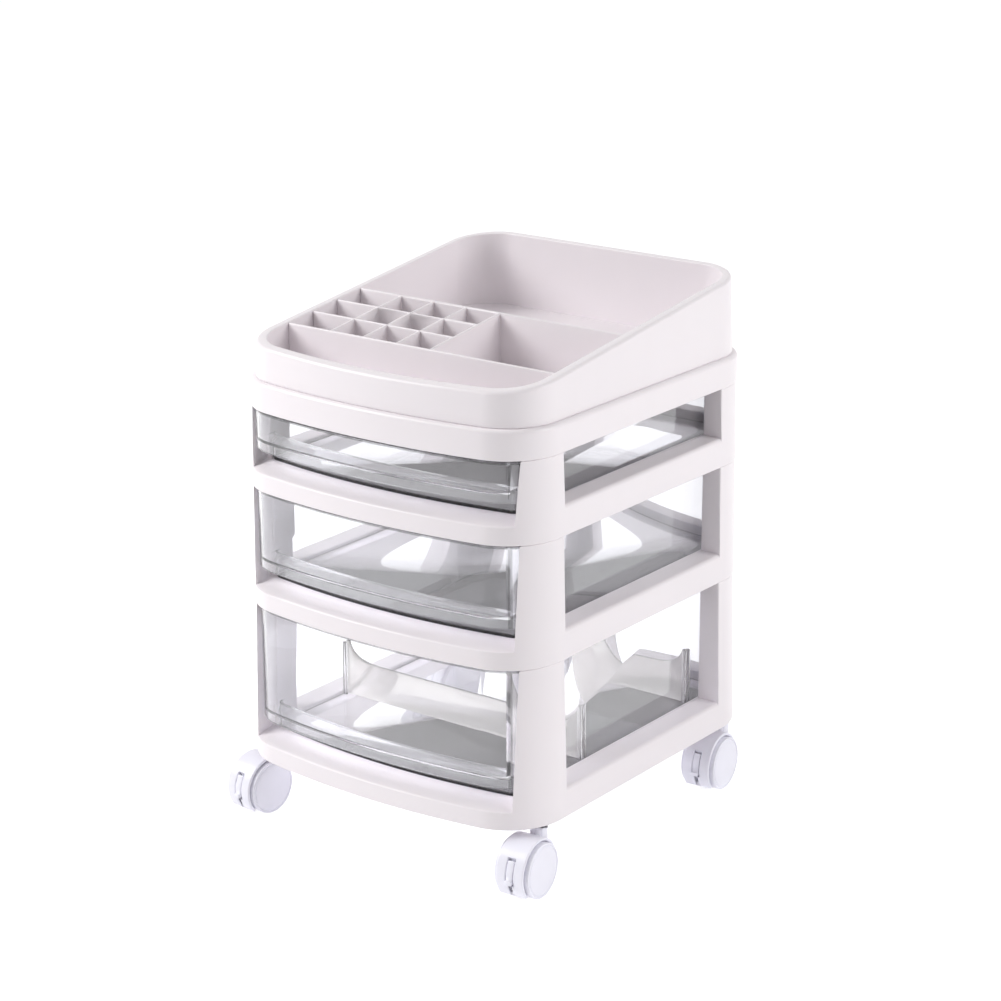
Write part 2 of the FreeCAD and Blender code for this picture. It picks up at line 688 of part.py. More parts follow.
def wheel():
    """One wheel of the pair, on the +X side: closed outside, with a blind bore that turns on the axle."""
    tread = across(WHEEL_R, WHEEL_GAP / 2, CASTER_HALF_W)
    return tread.cut(across(AXLE_R + RUNNING_FIT, 0, AXLE_HALF_L + AXLE_END_GAP))


def lever():
    """The brake lever: a plate hung from a round knuckle in the hood's slot, with a pedal lip at its foot."""
    inner = HOOD_R - HOOD_T
    outer = HOOD_R + PEDAL_T
    side = [hood_point(inner, LEVER_PIVOT_DEG), hood_point(HOOD_R, LEVER_PIVOT_DEG),
            hood_point(HOOD_R, LEVER_MID_DEG), hood_point(HOOD_R, LEVER_FOOT_DEG + PEDAL_ARC_DEG),
            hood_point(outer, LEVER_FOOT_DEG + PEDAL_ARC_DEG), hood_point(outer, LEVER_FOOT_DEG),
            hood_point(inner, LEVER_FOOT_DEG), hood_point(inner, LEVER_MID_DEG)]
    plate = polygon([V(-LEVER_HALF_W, y, z) for y, z in side]).extrude(V(2 * LEVER_HALF_W, 0, 0))
    y, z = hood_point(PIVOT_R, LEVER_PIVOT_DEG)
    knuckle = Part.makeCylinder(HOOD_T / 2, 2 * LEVER_HALF_W, V(-LEVER_HALF_W, y, z), V(1, 0, 0))
    return plate.fuse(knuckle).removeSplitter()


def stem():
    """The steel stem: a pin that the hood swivels on, pushed up into the frame as far as its flange."""
    pin = Part.makeCylinder(STEM_R, CASTER_H + STEM_L - STEM_FOOT_Z, V(0, 0, STEM_FOOT_Z))
    return pin.fuse(Part.makeCylinder(STEM_FLANGE_R, STEM_FLANGE_T, V(0, 0, CASTER_H - STEM_FLANGE_T)))


def place_caster(shape, x, y):
    """Sets a caster part under one corner, toed out a little."""
    shape = shape.copy()
    toe = CASTER_TOE_DEG if x > 0 else -CASTER_TOE_DEG
    shape.rotate(V(0, 0, 0), V(0, 0, 1), toe)
    shape.translate(V(x, y, 0))
    return shape


def save_casters():
    """Writes each caster's own parts, and the four stems as one node."""
    axle = across(AXLE_R, -AXLE_HALF_L, AXLE_HALF_L)
    kit = {
        "hood": hood(),
        "wheel_a": wheel(),
        "wheel_b": mirrored(wheel()),
        "axle": axle,
        "brake_lever": lever(),
    }
    for x, y in stem_places():
        corner = ("front" if y < 0 else "rear") + ("_right" if x > 0 else "_left")
        for part, shape in kit.items():
            save(place_caster(shape, x, y), "caster_" + corner + "_" + part)
    save(Part.makeCompound([place_caster(stem(), x, y) for x, y in stem_places()]), "caster_stems")


def main():
    os.makedirs("parts", exist_ok=True)
    save(tier_frame(LOWER_Z, LOWER_TIER_H, LOWER_FLARE, MIDDLE_FLARE, True), "lower_tier_frame")
    save(tier_frame(MIDDLE_Z, MIDDLE_TIER_H, MIDDLE_FLARE, UPPER_FLARE, False), "middle_tier_frame")
    save(tier_frame(UPPER_Z, UPPER_TIER_H, UPPER_FLARE, 0, False), "upper_tier_frame")
    save(top_frame(), "top_frame")
    save(tray(), "top_tray")
    save(tray_partitions(), "tray_partitions")
    save(drawer(LOWER_Z, LOWER_TIER_H, [FRONT_DIVIDER_Y, REAR_DIVIDER_Y]), "lower_drawer")
    save(drawer(MIDDLE_Z, MIDDLE_TIER_H, []), "middle_drawer")
    save(drawer(UPPER_Z, UPPER_TIER_H, []), "upper_drawer")
    save(drawer_divider(FRONT_DIVIDER_Y), "front_drawer_divider")
    save(drawer_divider(REAR_DIVIDER_Y), "rear_drawer_divider")
    save_casters()


main()
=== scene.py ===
"""Looks of a rolling cosmetic drawer tower.

Moulded white tiers, clear drawers, an open tray and twin-wheel casters.
Metres. +Z is up and the front faces -Y. The origin is on the floor, under the middle of the body.
"""

import json
import math

import bpy
from mathutils import Matrix, Vector

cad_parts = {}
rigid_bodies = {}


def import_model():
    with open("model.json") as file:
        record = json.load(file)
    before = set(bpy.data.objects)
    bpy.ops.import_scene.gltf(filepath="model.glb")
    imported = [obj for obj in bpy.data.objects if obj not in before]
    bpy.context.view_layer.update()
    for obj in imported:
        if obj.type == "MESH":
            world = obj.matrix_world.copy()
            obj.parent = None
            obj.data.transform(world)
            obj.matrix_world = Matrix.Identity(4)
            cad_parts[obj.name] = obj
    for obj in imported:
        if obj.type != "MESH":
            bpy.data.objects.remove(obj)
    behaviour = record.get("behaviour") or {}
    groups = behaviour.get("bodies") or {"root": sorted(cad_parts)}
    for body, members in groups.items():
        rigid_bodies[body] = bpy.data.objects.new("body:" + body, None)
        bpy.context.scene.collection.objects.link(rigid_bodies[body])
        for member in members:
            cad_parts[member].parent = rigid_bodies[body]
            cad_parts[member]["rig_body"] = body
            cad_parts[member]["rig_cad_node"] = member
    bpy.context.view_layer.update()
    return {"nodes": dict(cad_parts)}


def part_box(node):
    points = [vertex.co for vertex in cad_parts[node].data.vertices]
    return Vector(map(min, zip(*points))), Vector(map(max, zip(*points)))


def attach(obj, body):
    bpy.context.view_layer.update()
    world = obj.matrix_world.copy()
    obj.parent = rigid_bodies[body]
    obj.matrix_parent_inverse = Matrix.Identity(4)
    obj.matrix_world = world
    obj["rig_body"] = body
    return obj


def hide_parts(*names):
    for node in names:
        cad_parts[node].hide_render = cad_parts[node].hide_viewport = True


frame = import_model()

bl_info = {
    "name": "Cosmetic drawer tower",
    "version": (1, 0, 0),
    "blender": (4, 5, 0),
    "location": "3D View > Sidebar > Drawer tower",
    "description": "Models and finishes a rolling cosmetic drawer tower round its construction frame",
    "category": "Object",
}

MM = 0.001

# The body's plan: large round corners, a bowed front and a straight back
BODY_W = 260 * MM
BODY_D = 302 * MM
FRONT_BOW = 14.7 * MM
CORNER_R = 43 * MM
BOW_R = ((BODY_W / 2) ** 2 + FRONT_BOW ** 2) / (2 * FRONT_BOW)
BOW_Y = BOW_R - BODY_D / 2
CORNER_X = BODY_W / 2 - CORNER_R
FRONT_CORNER_Y = BOW_Y - math.sqrt((BOW_R - CORNER_R) ** 2 - CORNER_X ** 2)
REAR_CORNER_Y = BODY_D / 2 - CORNER_R

# Clear drawers: the wall, the strips marked at foot and top, and how dark the painted shade makes the sheets'
# edges and top
DRAWER_WALL = 2.2 * MM
FOOT_SHADE_STRIP = 2.0 * MM
TOP_SHADE_STRIP = 1.7 * MM
RIM_PAINTED_SHADE = 0.6
TOP_PAINTED_SHADE = 0.55

# How much of the lamps' light each face of a clear wall lets through
LAMP_SHARE = 0.98

# Casters, drawn with the stem on the Z axis and the wheels trailing towards -Y
CASTER_TRAIL = 16.5 * MM
CASTER_TOE = math.radians(4.5)
STEM_X = 121.5 * MM
FRONT_STEM_Y = -112 * MM
REAR_STEM_Y = 122.5 * MM
WHEEL_R = 20 * MM
WHEEL_INNER_X = 2.2 * MM
WHEEL_OUTER_X = 14.5 * MM
AXLE_Z = WHEEL_R
WHEEL_DOME = 0.6 * MM
DOME_RINGS = 7

# Insets of a wheel's outer and inner face: each ring's thickness and depth in millimetres
STEP_RING = ((1.5, 0), (0.25, -0.5), (0.5, 0), (0.3, 0.5))
INNER_RECESS = ((1.6, 0), (0.3, -1.6), (12.6, 0), (0.2, 1.6))

# Rounding of the small pieces' edges
WHEEL_EDGE = 0.55 * MM
LEVER_EDGE = 0.5 * MM
AXLE_EDGE = 0.3 * MM
STEM_EDGE = 0.4 * MM

# Edges: which are sharp, how smooth the shading is, and how much of a wall or face a rounding may take
MERGE_DISTANCE = 1e-6
FLAT_ANGLE = math.radians(0.5)
SHARP_ANGLE = math.radians(28)
SMOOTH_ANGLE = math.radians(38)
ROUNDING_SHARE = 0.44

# Rays that measure a wall: how far under its skin and in from an edge they start, how many walls or roundings
# they reach, and from how many walls on a face is taken for a sheet's edge
SKIN = 0.03 * MM
EDGE_STEP = 0.3 * MM
RAY_REACH = 4
EDGE_DEPTH = 1.6

# Exact wall normals: how near a face has to lie to one to give it, and how near to take it, the angle that
# stands for a vector of no length, how far a wall may lean, and the least area of a face that gives one
WALL_MATCH = math.radians(9)
CORNER_MATCH = math.radians(30)
NO_ANGLE = 9.0
STEEPEST_WALL_Z = 0.12
BODY_WALL_AREA = 6e-6
DRAWER_WALL_AREA = 3e-6

# The camera, solved from the photograph's edges
CAMERA_PLACE = Vector((1.1597, -1.53995, 0.8467))
CAMERA_AZIMUTH = math.radians(36.8656)
CAMERA_ELEVATION = math.radians(17.7359)
CAMERA_ROLL = math.radians(-0.156)
CAMERA_LENS = 99.59
SENSOR_W = 36.0

# Lamps: the bearing from the front and the height in degrees, then the size, the distance and what they face
KEY_PLACE = (-53, 36)
SIDE_PLACE = (110, 28)
LAMP_SIZE = 1.3
LAMP_DISTANCE = 2.4
LAMP_TARGET = Vector((0, 0, 0.2))

# The floor: its size, its extra brightness where it is seen, and the light that it sends back up
FLOOR_SIZE = 24
FLOOR_SEEN = 0.47
FLOOR_GLOW = 0.2

TIERS = ("lower", "middle", "upper")
CORNERS = [(side, end) for side in ("right", "left") for end in ("front", "rear")]


# Shader wiring

class Wire:
    """A node's output, with Python's arithmetic as Math nodes."""

    def __init__(self, wiring, socket):
        self.wiring = wiring
        self.socket = socket

    def maths(self, operation, *values):
        return self.wiring.node("Math", {"operation": operation}, dict(enumerate(values)))

    def __add__(self, other):
        return self.maths("ADD", self, other)

    def __mul__(self, other):
        return self.maths("MULTIPLY", self, other)

    __radd__ = __add__
    __rmul__ = __mul__


class Wiring:
    """A node tree being wired, of a material or of the world."""

    def __init__(self, tree):
        self.tree = tree

    def node(self, kind, settings=None, inputs=None, output=0):
        """Adds a node with its settings first, then the values or links of its sockets."""
        made = self.tree.nodes.new("ShaderNode" + kind)
        for key, value in (settings or {}).items():
            setattr(made, key, value)
        for key, value in (inputs or {}).items():
            self.feed(made.inputs[key], value)
        return Wire(self, made.outputs[output])

    def feed(self, socket, value):
        if isinstance(value, Wire):
            self.tree.links.new(value.socket, socket)
        else:
            socket.default_value = value

    def seen_directly(self):
        """1 for rays that show the background: from the camera, mirrored or through clear plastic."""
        camera = self.node("LightPath", output="Is Camera Ray")
        outputs = camera.socket.node.outputs
        rays = camera + Wire(self, outputs["Is Glossy Ray"]) + Wire(self, outputs["Is Transmission Ray"])
        return rays.maths("MINIMUM", rays, 1.0)


class Finish(Wiring):
    """A material under construction: its node tree and its main shader."""

    def __init__(self, name, **constants):
        self.material = bpy.data.materials.new(name)
        self.material.use_nodes = True
        super().__init__(self.material.node_tree)
        self.shader = self.tree.nodes["Principled BSDF"]
        self.set(**constants)

    def set(self, **inputs):
        for socket, value in inputs.items():
            self.feed(self.shader.inputs[socket.replace("_", " ")], value)

    def mask(self, name):
        """A mask stored on the mesh."""
        return self.node("Attribute", {"attribute_name": name}, output="Fac")

    def place(self, stretch=(1, 1, 1)):
        """Object coordinates, stretched along the axes."""
        coordinates = self.node("TexCoord", output="Object")
        return self.node("Mapping", None, {"Vector": coordinates, "Scale": stretch})

    def noise(self, scale, detail=2.0, stretch=(1, 1, 1), roughness=0.5):
        inputs = {"Vector": self.place(stretch), "Scale": scale, "Detail": detail, "Roughness": roughness}
        return self.node("TexNoise", None, inputs)

    def ramp(self, value, low, high):
        """0 below low, 1 above high."""
        return self.node("MapRange", {"interpolation_type": "SMOOTHSTEP"},
                         {"Value": value, "From Min": low, "From Max": high})

    def mix(self, factor, first, second):
        return self.node("Mix", {"data_type": "RGBA"}, {"Factor": factor, "A": first, "B": second}, "Result")

    def bump(self, height, depth, normal=None):
        inputs = {"Height": height, "Distance": depth, "Strength": 1.0}
        if normal:
            inputs["Normal"] = normal
        return self.node("Bump", None, inputs)

    def pass_lamps(self, colour):
        """Lets the lamps' light straight through, as it falls through thin clear walls."""
        shadow = self.node("LightPath", output="Is Shadow Ray")
        through = self.node("BsdfTransparent", None, {"Color": colour})
        plastic = Wire(self, self.shader.outputs["BSDF"])
        both = self.node("MixShader", None, {0: shadow, 1: plastic, 2: through})
        self.feed(self.tree.nodes["Material Output"].inputs["Surface"], both)


def shaded(colour, amount):
    """A colour scaled in brightness."""
    return tuple(channel * amount for channel in colour[:3]) + (1.0,)


# Finishes

def moulded_plastic(name, colour, roughness, grain):
    """Satin injection-moulded plastic: faint flow marks, an even spark texture and a few rubbed patches."""
    finish = Finish(name, IOR=1.49, Subsurface_Weight=0.06, Subsurface_Radius=(0.004, 0.0035, 0.003),
                    Subsurface_Scale=1.0)
    cloud = finish.noise(7.0, 3.0)
    flow = finish.noise(28.0, 4.0, (1.0, 1.0, 0.25), 0.6)
    rub = finish.ramp(finish.noise(18.0, 6.0, (0.5, 0.5, 2.0), 0.65), 0.56, 0.72)
    spark = finish.noise(2600.0, 1.0)
    tone = finish.ramp(cloud * 0.6 + flow * 0.4, 0.3, 0.7)
    colour = finish.mix(tone, shaded(colour, 0.975), shaded(colour, 1.0))
    finish.set(Base_Color=colour,
               Roughness=roughness + 0.05 * flow + 0.09 * rub,
               Normal=finish.bump(spark, grain, finish.bump(flow, 40e-6)))
    return finish.material


def clear_plastic(name, colour, roughness, milk):
    """Clear moulded plastic: edges and strips darkened as painted shade, a slight ripple, fine handling
    scratches and a breath of haze.
    """
    finish = Finish(name, IOR=1.54, Transmission_Weight=1.0 - milk)
    ripple = finish.noise(16.0, 1.5, (1.0, 1.0, 0.5))
    hair = finish.ramp(finish.noise(220.0, 3.0, (1.0, 0.06, 1.0), 0.6), 0.66, 0.74)
    haze = finish.ramp(finish.noise(12.0, 5.0, (1, 1, 1), 0.6), 0.5, 0.8)
    sheet = finish.mix(haze, colour, shaded(colour, 0.97))
    # The rim mask darkens the marked edges and strips: painted shade for shadow gaps and dark reflections.
    finish.set(Base_Color=finish.mix(finish.mask("rim"), sheet, shaded(colour, finishes().rim)),
               Roughness=roughness + 0.03 * hair + 0.01 * haze,
               Normal=finish.bump(ripple, 40e-6, finish.bump(hair, 2e-6)))
    finish.pass_lamps(shaded(colour, LAMP_SHARE - 0.3 * milk))
    return finish.material


def plated_steel(name, colour):
    """Bright plating with fine turning marks round the shank."""
    finish = Finish(name, Metallic=1.0)
    rings = finish.noise(900.0, 2.0, (0.05, 0.05, 1.0))
    tarnish = finish.ramp(finish.noise(120.0, 4.0), 0.45, 0.75)
    finish.set(Base_Color=finish.mix(tarnish, colour, shaded(colour, 0.82)),
               Roughness=0.14 + 0.08 * rings + 0.12 * tarnish,
               Normal=finish.bump(rings, 8e-6))
    return finish.material


def tread_nylon(name, colour):
    """The wheels' nylon: smooth on the faces, dulled and greyed a little round the tread."""
    finish = Finish(name, IOR=1.5, Subsurface_Weight=0.08, Subsurface_Radius=(0.003, 0.003, 0.003),
                    Subsurface_Scale=1.0)
    tread = finish.mask("tread")
    scuff = finish.noise(260.0, 5.0, (1, 1, 1), 0.65)
    worn = tread * finish.ramp(scuff, 0.4, 0.7)
    cloud = finish.ramp(finish.noise(60.0, 3.0), 0.3, 0.7)
    face = finish.mix(cloud, shaded(colour, 0.98), colour)
    finish.set(Base_Color=finish.mix(worn * 0.35, face, shaded(colour, 0.72)),
               Roughness=0.3 + 0.06 * cloud + 0.22 * worn,
               Normal=finish.bump(scuff, 10e-6))
    return finish.material


# Meshes

def only(piece):
    """Selects one object and makes it active."""
    bpy.ops.object.select_all(action="DESELECT")
    piece.select_set(True)
    bpy.context.view_layer.objects.active = piece


def edit(piece, work):
    """Runs work in edit mode with everything selected."""
    only(piece)
    bpy.ops.object.mode_set(mode="EDIT")
    bpy.ops.mesh.select_all(action="SELECT")
    work()
    bpy.ops.object.mode_set(mode="OBJECT")


def copy_of(node, name):
    """A merged copy of a CAD node's mesh, with its flat faces whole again."""
    only(frame["nodes"][node])
    bpy.ops.object.duplicate()
    piece = bpy.context.object
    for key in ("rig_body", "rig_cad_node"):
        del piece[key]
    piece.parent = None
    piece.name = name
    piece.data.name = name

    def merge():
        bpy.ops.mesh.remove_doubles(threshold=MERGE_DISTANCE)
        bpy.ops.mesh.dissolve_limited(angle_limit=FLAT_ANGLE)

    edit(piece, merge)
    return piece


def room(piece, place, way, reach):
    """How far a ray goes from a place to the piece's next face, up to reach."""
    hit, there, *_ = piece.ray_cast(place, way, distance=reach)
    return (there - place).length if hit else reach


def joined(piece):
    """Makes one shell of a piece's loose parts that touch."""
    only(piece)
    bpy.ops.mesh.separate(type="LOOSE")
    for part in [part for part in bpy.context.selected_objects if part is not piece]:
        fuse = piece.modifiers.new("Fuse", "BOOLEAN")
        fuse.operation = "UNION"
        fuse.solver = "EXACT"
        fuse.object = part
        only(piece)
        bpy.ops.object.modifier_apply(modifier=fuse.name)
        bpy.data.objects.remove(part)


def cut_level(piece, height):
    """Cuts a piece's faces along a level line, so that a strip of them can be finished apart, with painted
    shade.
    """
    edit(piece, lambda: bpy.ops.mesh.bisect(plane_co=(0, 0, height), plane_no=(0, 0, 1)))


def mark_painted_edge_shade(piece, wall, foot=-math.inf, top=math.inf):
    """Marks painted shade on the faces that close a sheet's edge, and on the strips below foot and above top.
    """
    only(piece)
    mask = piece.data.attributes.new("rim", "FLOAT", "FACE")
    for face in piece.data.polygons:
        depth = room(piece, face.center - face.normal * SKIN, -face.normal, RAY_REACH * wall)
        # Painted shade: the edge faces and the top strip a little darker, the foot strip darkest.
        painted_shade = RIM_PAINTED_SHADE if depth > EDGE_DEPTH * wall else 0.0
        if face.center.z > top:
            painted_shade = TOP_PAINTED_SHADE
        elif face.center.z < foot and abs(face.normal.z) < 0.8:
            painted_shade = 1.0
        mask.data[face.index].value = painted_shade


def into_face(mesh, face, line):
    """Which way a face runs from one of its edges."""
    first, second = line.vertices
    order = list(face.vertices)
    along = mesh.vertices[second].co - mesh.vertices[first].co
    if order[(order.index(first) + 1) % len(order)] != second:
        along.negate()
    return face.normal.cross(along).normalized()


def edge_room(piece, line, faces, radius):
    """How far an outer edge may be rounded: under half of its wall and its faces. Inner edges get nothing."""
    mesh = piece.data
    first, second = (mesh.vertices[i].co for i in line.vertices)
    middle = (first + second) / 2
    ways = [into_face(mesh, face, line) for face in faces]
    if ways[0].dot(faces[1].normal) > -0.1:
        return 0.0
    widest = radius
    for face, way in zip(faces, ways):
        start = middle + way * EDGE_STEP - face.normal * SKIN
        span = max((mesh.vertices[i].co - middle).dot(way) for i in face.vertices)
        depth = room(piece, start, -face.normal, RAY_REACH * radius)
        widest = min(widest, ROUNDING_SHARE * span, ROUNDING_SHARE * depth)
    return widest


def soften(piece, radius, weight_of=lambda ends, faces: 1.0, segments=3):
    """Rounds the sharp outer edges with a small radius, and a smaller one on thin walls and narrow faces."""
    mesh = piece.data
    faces_at = {}
    for face in mesh.polygons:
        for key in face.edge_keys:
            faces_at.setdefault(key, []).append(face)
    weights = mesh.attributes.new("bevel_weight_edge", "FLOAT", "EDGE")
    for line in mesh.edges:
        faces = faces_at.get(line.key, [])
        if len(faces) == 2 and faces[0].normal.angle(faces[1].normal, 0.0) > SHARP_ANGLE:
            ends = [mesh.vertices[i].co for i in line.vertices]
            wanted = radius * weight_of(ends, faces)
            weights.data[line.index].value = edge_room(piece, line, faces, wanted) / radius
    bevel = piece.modifiers.new("Edges", "BEVEL")
    bevel.width = radius
    bevel.segments = segments
    bevel.limit_method = "WEIGHT"
    bevel.use_clamp_overlap = False
    bevel.miter_outer = "MITER_ARC"
    only(piece)
    bpy.ops.object.modifier_apply(modifier=bevel.name)
    bpy.ops.object.shade_smooth_by_angle(angle=SMOOTH_ANGLE)


def plan_normal(place):
    """Which way the body's upright wall faces at a place, seen from above."""
    x, y = abs(place.x), place.y
    if y > REAR_CORNER_Y and x > CORNER_X:
        way = Vector((x - CORNER_X, y - REAR_CORNER_Y, 0))
    elif y > REAR_CORNER_Y:
        way = Vector((0, 1, 0))
    elif y < FRONT_CORNER_Y:
        corner = Vector((x - CORNER_X, y - FRONT_CORNER_Y, 0))
        bow = Vector((x, y - BOW_Y, 0))
        tangent = Vector((CORNER_X, FRONT_CORNER_Y - BOW_Y, 0))
        way = corner if bow.x * -tangent.y > tangent.x * -bow.y else bow
    else:
        way = Vector((1, 0, 0))
    if way.length < 1e-6:
        way = Vector((1, 0, 0))
    way.normalize()
    return Vector((math.copysign(way.x, place.x), way.y, 0))


def true_walls(piece, normal_at, least_area=BODY_WALL_AREA):
    """Gives walls that follow a known curve its exact normals, so that they shade without streaks."""
    mesh = piece.data
    true_at = {}
    for face in mesh.polygons:
        if face.area < least_area:
            continue
        for i in face.vertices:
            ideal = normal_at(mesh.vertices[i].co)
            flat = Vector((face.normal.x, face.normal.y, 0))
            if normal_at is not plan_normal:
                flat = face.normal.copy()
            elif abs(face.normal.z) > STEEPEST_WALL_Z:
                continue
            if flat.dot(ideal) < 0:
                ideal = -ideal
            if flat.angle(ideal, NO_ANGLE) < WALL_MATCH:
                if normal_at is plan_normal:
                    ideal = Vector((ideal.x, ideal.y, face.normal.z)).normalized()
                true_at.setdefault(i, []).append(ideal)
    loops = [Vector((0, 0, 0))] * len(mesh.loops)
    for face in mesh.polygons:
        for loop, i in zip(face.loop_indices, face.vertices):
            for ideal in true_at.get(i, ()):
                if face.normal.angle(ideal, NO_ANGLE) < CORNER_MATCH:
                    loops[loop] = ideal
                    break
    mesh.normals_split_custom_set(loops)


def dress(piece, material, slot, body, *nodes):
    """Finishes a piece: its material, the body it rides on and the nodes it stands for; its slot is not used.
    """
    piece.data.materials.clear()
    piece.data.materials.append(material)
    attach(piece, body)
    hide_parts(*nodes)


def finishes():
    return bpy.context.scene.tower_finishes


def edges():
    return bpy.context.scene.tower_edges


def material_named(name, make, *settings):
    """One shared material, made the first time it is asked for."""
    return bpy.data.materials.get(name) or make(name, *settings)


def body_plastic():
    return material_named("warm_white_plastic", moulded_plastic, (*finishes().body, 1.0), 0.3, 6e-6)


# Caster pieces

def corner_axes(side, end):
    """Where one corner's caster stands, and how far it is toed out."""
    way = 1 if side == "right" else -1
    place = Matrix.Translation((way * STEM_X, FRONT_STEM_Y if end == "front" else REAR_STEM_Y, 0))
    return place @ Matrix.Rotation(way * CASTER_TOE, 4, "Z")


def to_corner(piece, side, end):
    """Sets a caster piece, drawn about its stem, under one corner."""
    piece.data.transform(corner_axes(side, end))


def axle_normal(side, end):
    """Returns which way the hood's barrel faces at a place."""
    under = corner_axes(side, end)
    axle = under @ Vector((0, -CASTER_TRAIL, AXLE_Z))
    along = under.to_3x3() @ Vector((1, 0, 0))

    def normal_at(place):
        out = place - axle
        out -= along * out.dot(along)
        return out.normalized()

    return normal_at


def select_cap(piece, x):
    """Selects the faces that lie square to X at a given place. Runs in edit mode."""
    bpy.ops.mesh.select_all(action="DESELECT")
    bpy.ops.object.mode_set(mode="OBJECT")
    for face in piece.data.polygons:
        face.select = abs(face.normal.x) > 0.9 and abs(face.center.x - x) < 1e-5
    bpy.ops.object.mode_set(mode="EDIT")


def inset_rings(rings):
    """Insets the selected faces ring by ring, from thicknesses and depths in millimetres."""
    for thickness, depth in rings:
        bpy.ops.mesh.inset(thickness=thickness * MM, depth=depth * MM)


def wheel_blank():
    """One wheel on the +X side: a rounded tread, a thin step ring and a gently domed disc."""
    width = WHEEL_OUTER_X - WHEEL_INNER_X
    middle = (WHEEL_OUTER_X - WHEEL_DOME + WHEEL_INNER_X) / 2
    bpy.ops.mesh.primitive_cylinder_add(vertices=96, radius=WHEEL_R, depth=width - WHEEL_DOME,
                                        location=(middle, -CASTER_TRAIL, AXLE_Z),
                                        rotation=(0, math.pi / 2, 0))
    piece = bpy.context.object
    bpy.ops.object.transform_apply(location=True, rotation=True, scale=True)

    def shape():
        select_cap(piece, WHEEL_OUTER_X - WHEEL_DOME)
        inset_rings(STEP_RING)
        face_r = WHEEL_R - sum(thickness for thickness, depth in STEP_RING) * MM
        risen = 0.0
        for ring in range(1, DOME_RINGS):
            share = ring / DOME_RINGS
            rise = WHEEL_DOME * 0.9 * (1 - (1 - share) ** 2)
            bpy.ops.mesh.inset(thickness=face_r / DOME_RINGS, depth=rise - risen)
            risen = rise
        select_cap(piece, WHEEL_INNER_X)
        inset_rings(INNER_RECESS)

    edit(piece, shape)
    soften(piece, WHEEL_EDGE)
    tread = piece.data.attributes.new("tread", "FLOAT", "POINT")
    for i, vertex in enumerate(piece.data.vertices):
        out = math.hypot(vertex.co.y + CASTER_TRAIL, vertex.co.z - AXLE_Z)
        tread.data[i].value = 1.0 if out > WHEEL_R - 0.3 * MM else 0.0
    return piece


def mirror_in_x(piece):
    piece.data.transform(Matrix.Scale(-1, 4, (1, 0, 0)))
    edit(piece, lambda: bpy.ops.mesh.normals_make_consistent(inside=False))


def hood_weight(normal_at):
    """Wide rounding on the barrel's two outer rims, a fine one elsewhere."""
    def weight(ends, faces):
        out = [normal_at(end) for end in ends]
        on_barrel = [abs(face.normal.dot(out[0])) > 0.9 for face in faces]
        along = (ends[1] - ends[0]).normalized()
        rim = any(on_barrel) and abs(along.dot(out[0])) < 0.3 and (ends[1] - ends[0]).length < 6 * MM
        return 1.0 if rim else 0.35
    return weight


# Settings

class TowerFinishes(bpy.types.PropertyGroup):
    """Colours of the tower's plastics and metal."""
    body: bpy.props.FloatVectorProperty(
        name="Body", description="Warm white of the tiers, the top frame and the tray",
        default=(0.875, 0.825, 0.852), min=0, max=1, subtype="COLOR")
    drawer: bpy.props.FloatVectorProperty(
        name="Drawers", description="Tint of the clear drawers",
        default=(0.965, 0.965, 0.985), min=0, max=1, subtype="COLOR")
    # The colour of the painted shade on the clear pieces' edges and strips, as a share of their tint.
    rim: bpy.props.FloatProperty(
        name="Clear edges", description="How bright the clear pieces' edges are beside their faces",
        default=0.012, min=0, max=1)
    divider: bpy.props.FloatVectorProperty(
        name="Dividers", description="Tint of the lower drawer's dividers",
        default=(0.965, 0.945, 0.915), min=0, max=1, subtype="COLOR")
    caster: bpy.props.FloatVectorProperty(
        name="Casters", description="Cool white of the hoods, levers and wheels",
        default=(0.885, 0.875, 0.965), min=0, max=1, subtype="COLOR")
    steel: bpy.props.FloatVectorProperty(
        name="Steel", description="Plated stems and axles",
        default=(0.56, 0.57, 0.6), min=0, max=1, subtype="COLOR")


class TowerEdges(bpy.types.PropertyGroup):
    """How far the moulded edges are rounded."""
    body: bpy.props.FloatProperty(
        name="Body edges", description="Rounding of the tiers and the top frame",
        default=1.2 * MM, min=0, unit="LENGTH")
    tray: bpy.props.FloatProperty(
        name="Tray edges", description="Rounding of the tray's rim and walls",
        default=0.8 * MM, min=0, unit="LENGTH")
    drawer: bpy.props.FloatProperty(
        name="Drawer edges", description="Rounding of the drawers and dividers",
        default=0.5 * MM, min=0, unit="LENGTH")
    hood: bpy.props.FloatProperty(
        name="Hood rims", description="Rounding of the caster hoods' barrel rims",
        default=1.7 * MM, min=0, unit="LENGTH")


class StageSettings(bpy.types.PropertyGroup):
    """Floor, lamps and surroundings."""
    floor: bpy.props.FloatVectorProperty(
        name="Floor", description="Pale floor",
        default=(0.9, 0.9, 0.905), min=0, max=1, subtype="COLOR")
    surround: bpy.props.FloatProperty(
        name="Surround", description="Strength of the even light from all round",
        default=0.33, min=0)
    key: bpy.props.FloatProperty(
        name="Key lamp", description="Large soft lamp, front left and above",
        default=42.0, min=0, unit="POWER")
    side: bpy.props.FloatProperty(
        name="Side lamp", description="Large soft lamp on the right",
        default=25.5, min=0, unit="POWER")


# Operators

class DressTiers(bpy.types.Operator):
    """Rounds and finishes the three tier frames and the top frame."""
    bl_idname = "tower.dress_tiers"
    bl_label = "Tier frames"

    def execute(self, context):
        names = [(tier + "_tier_frame", tier + "_tier_shell") for tier in TIERS]
        names.append(("top_frame", "top_frame_shell"))
        for node, name in names:
            piece = copy_of(node, name)
            soften(piece, edges().body)
            true_walls(piece, plan_normal)
            dress(piece, body_plastic(), "body_plastic", "tower", node)
        return {"FINISHED"}


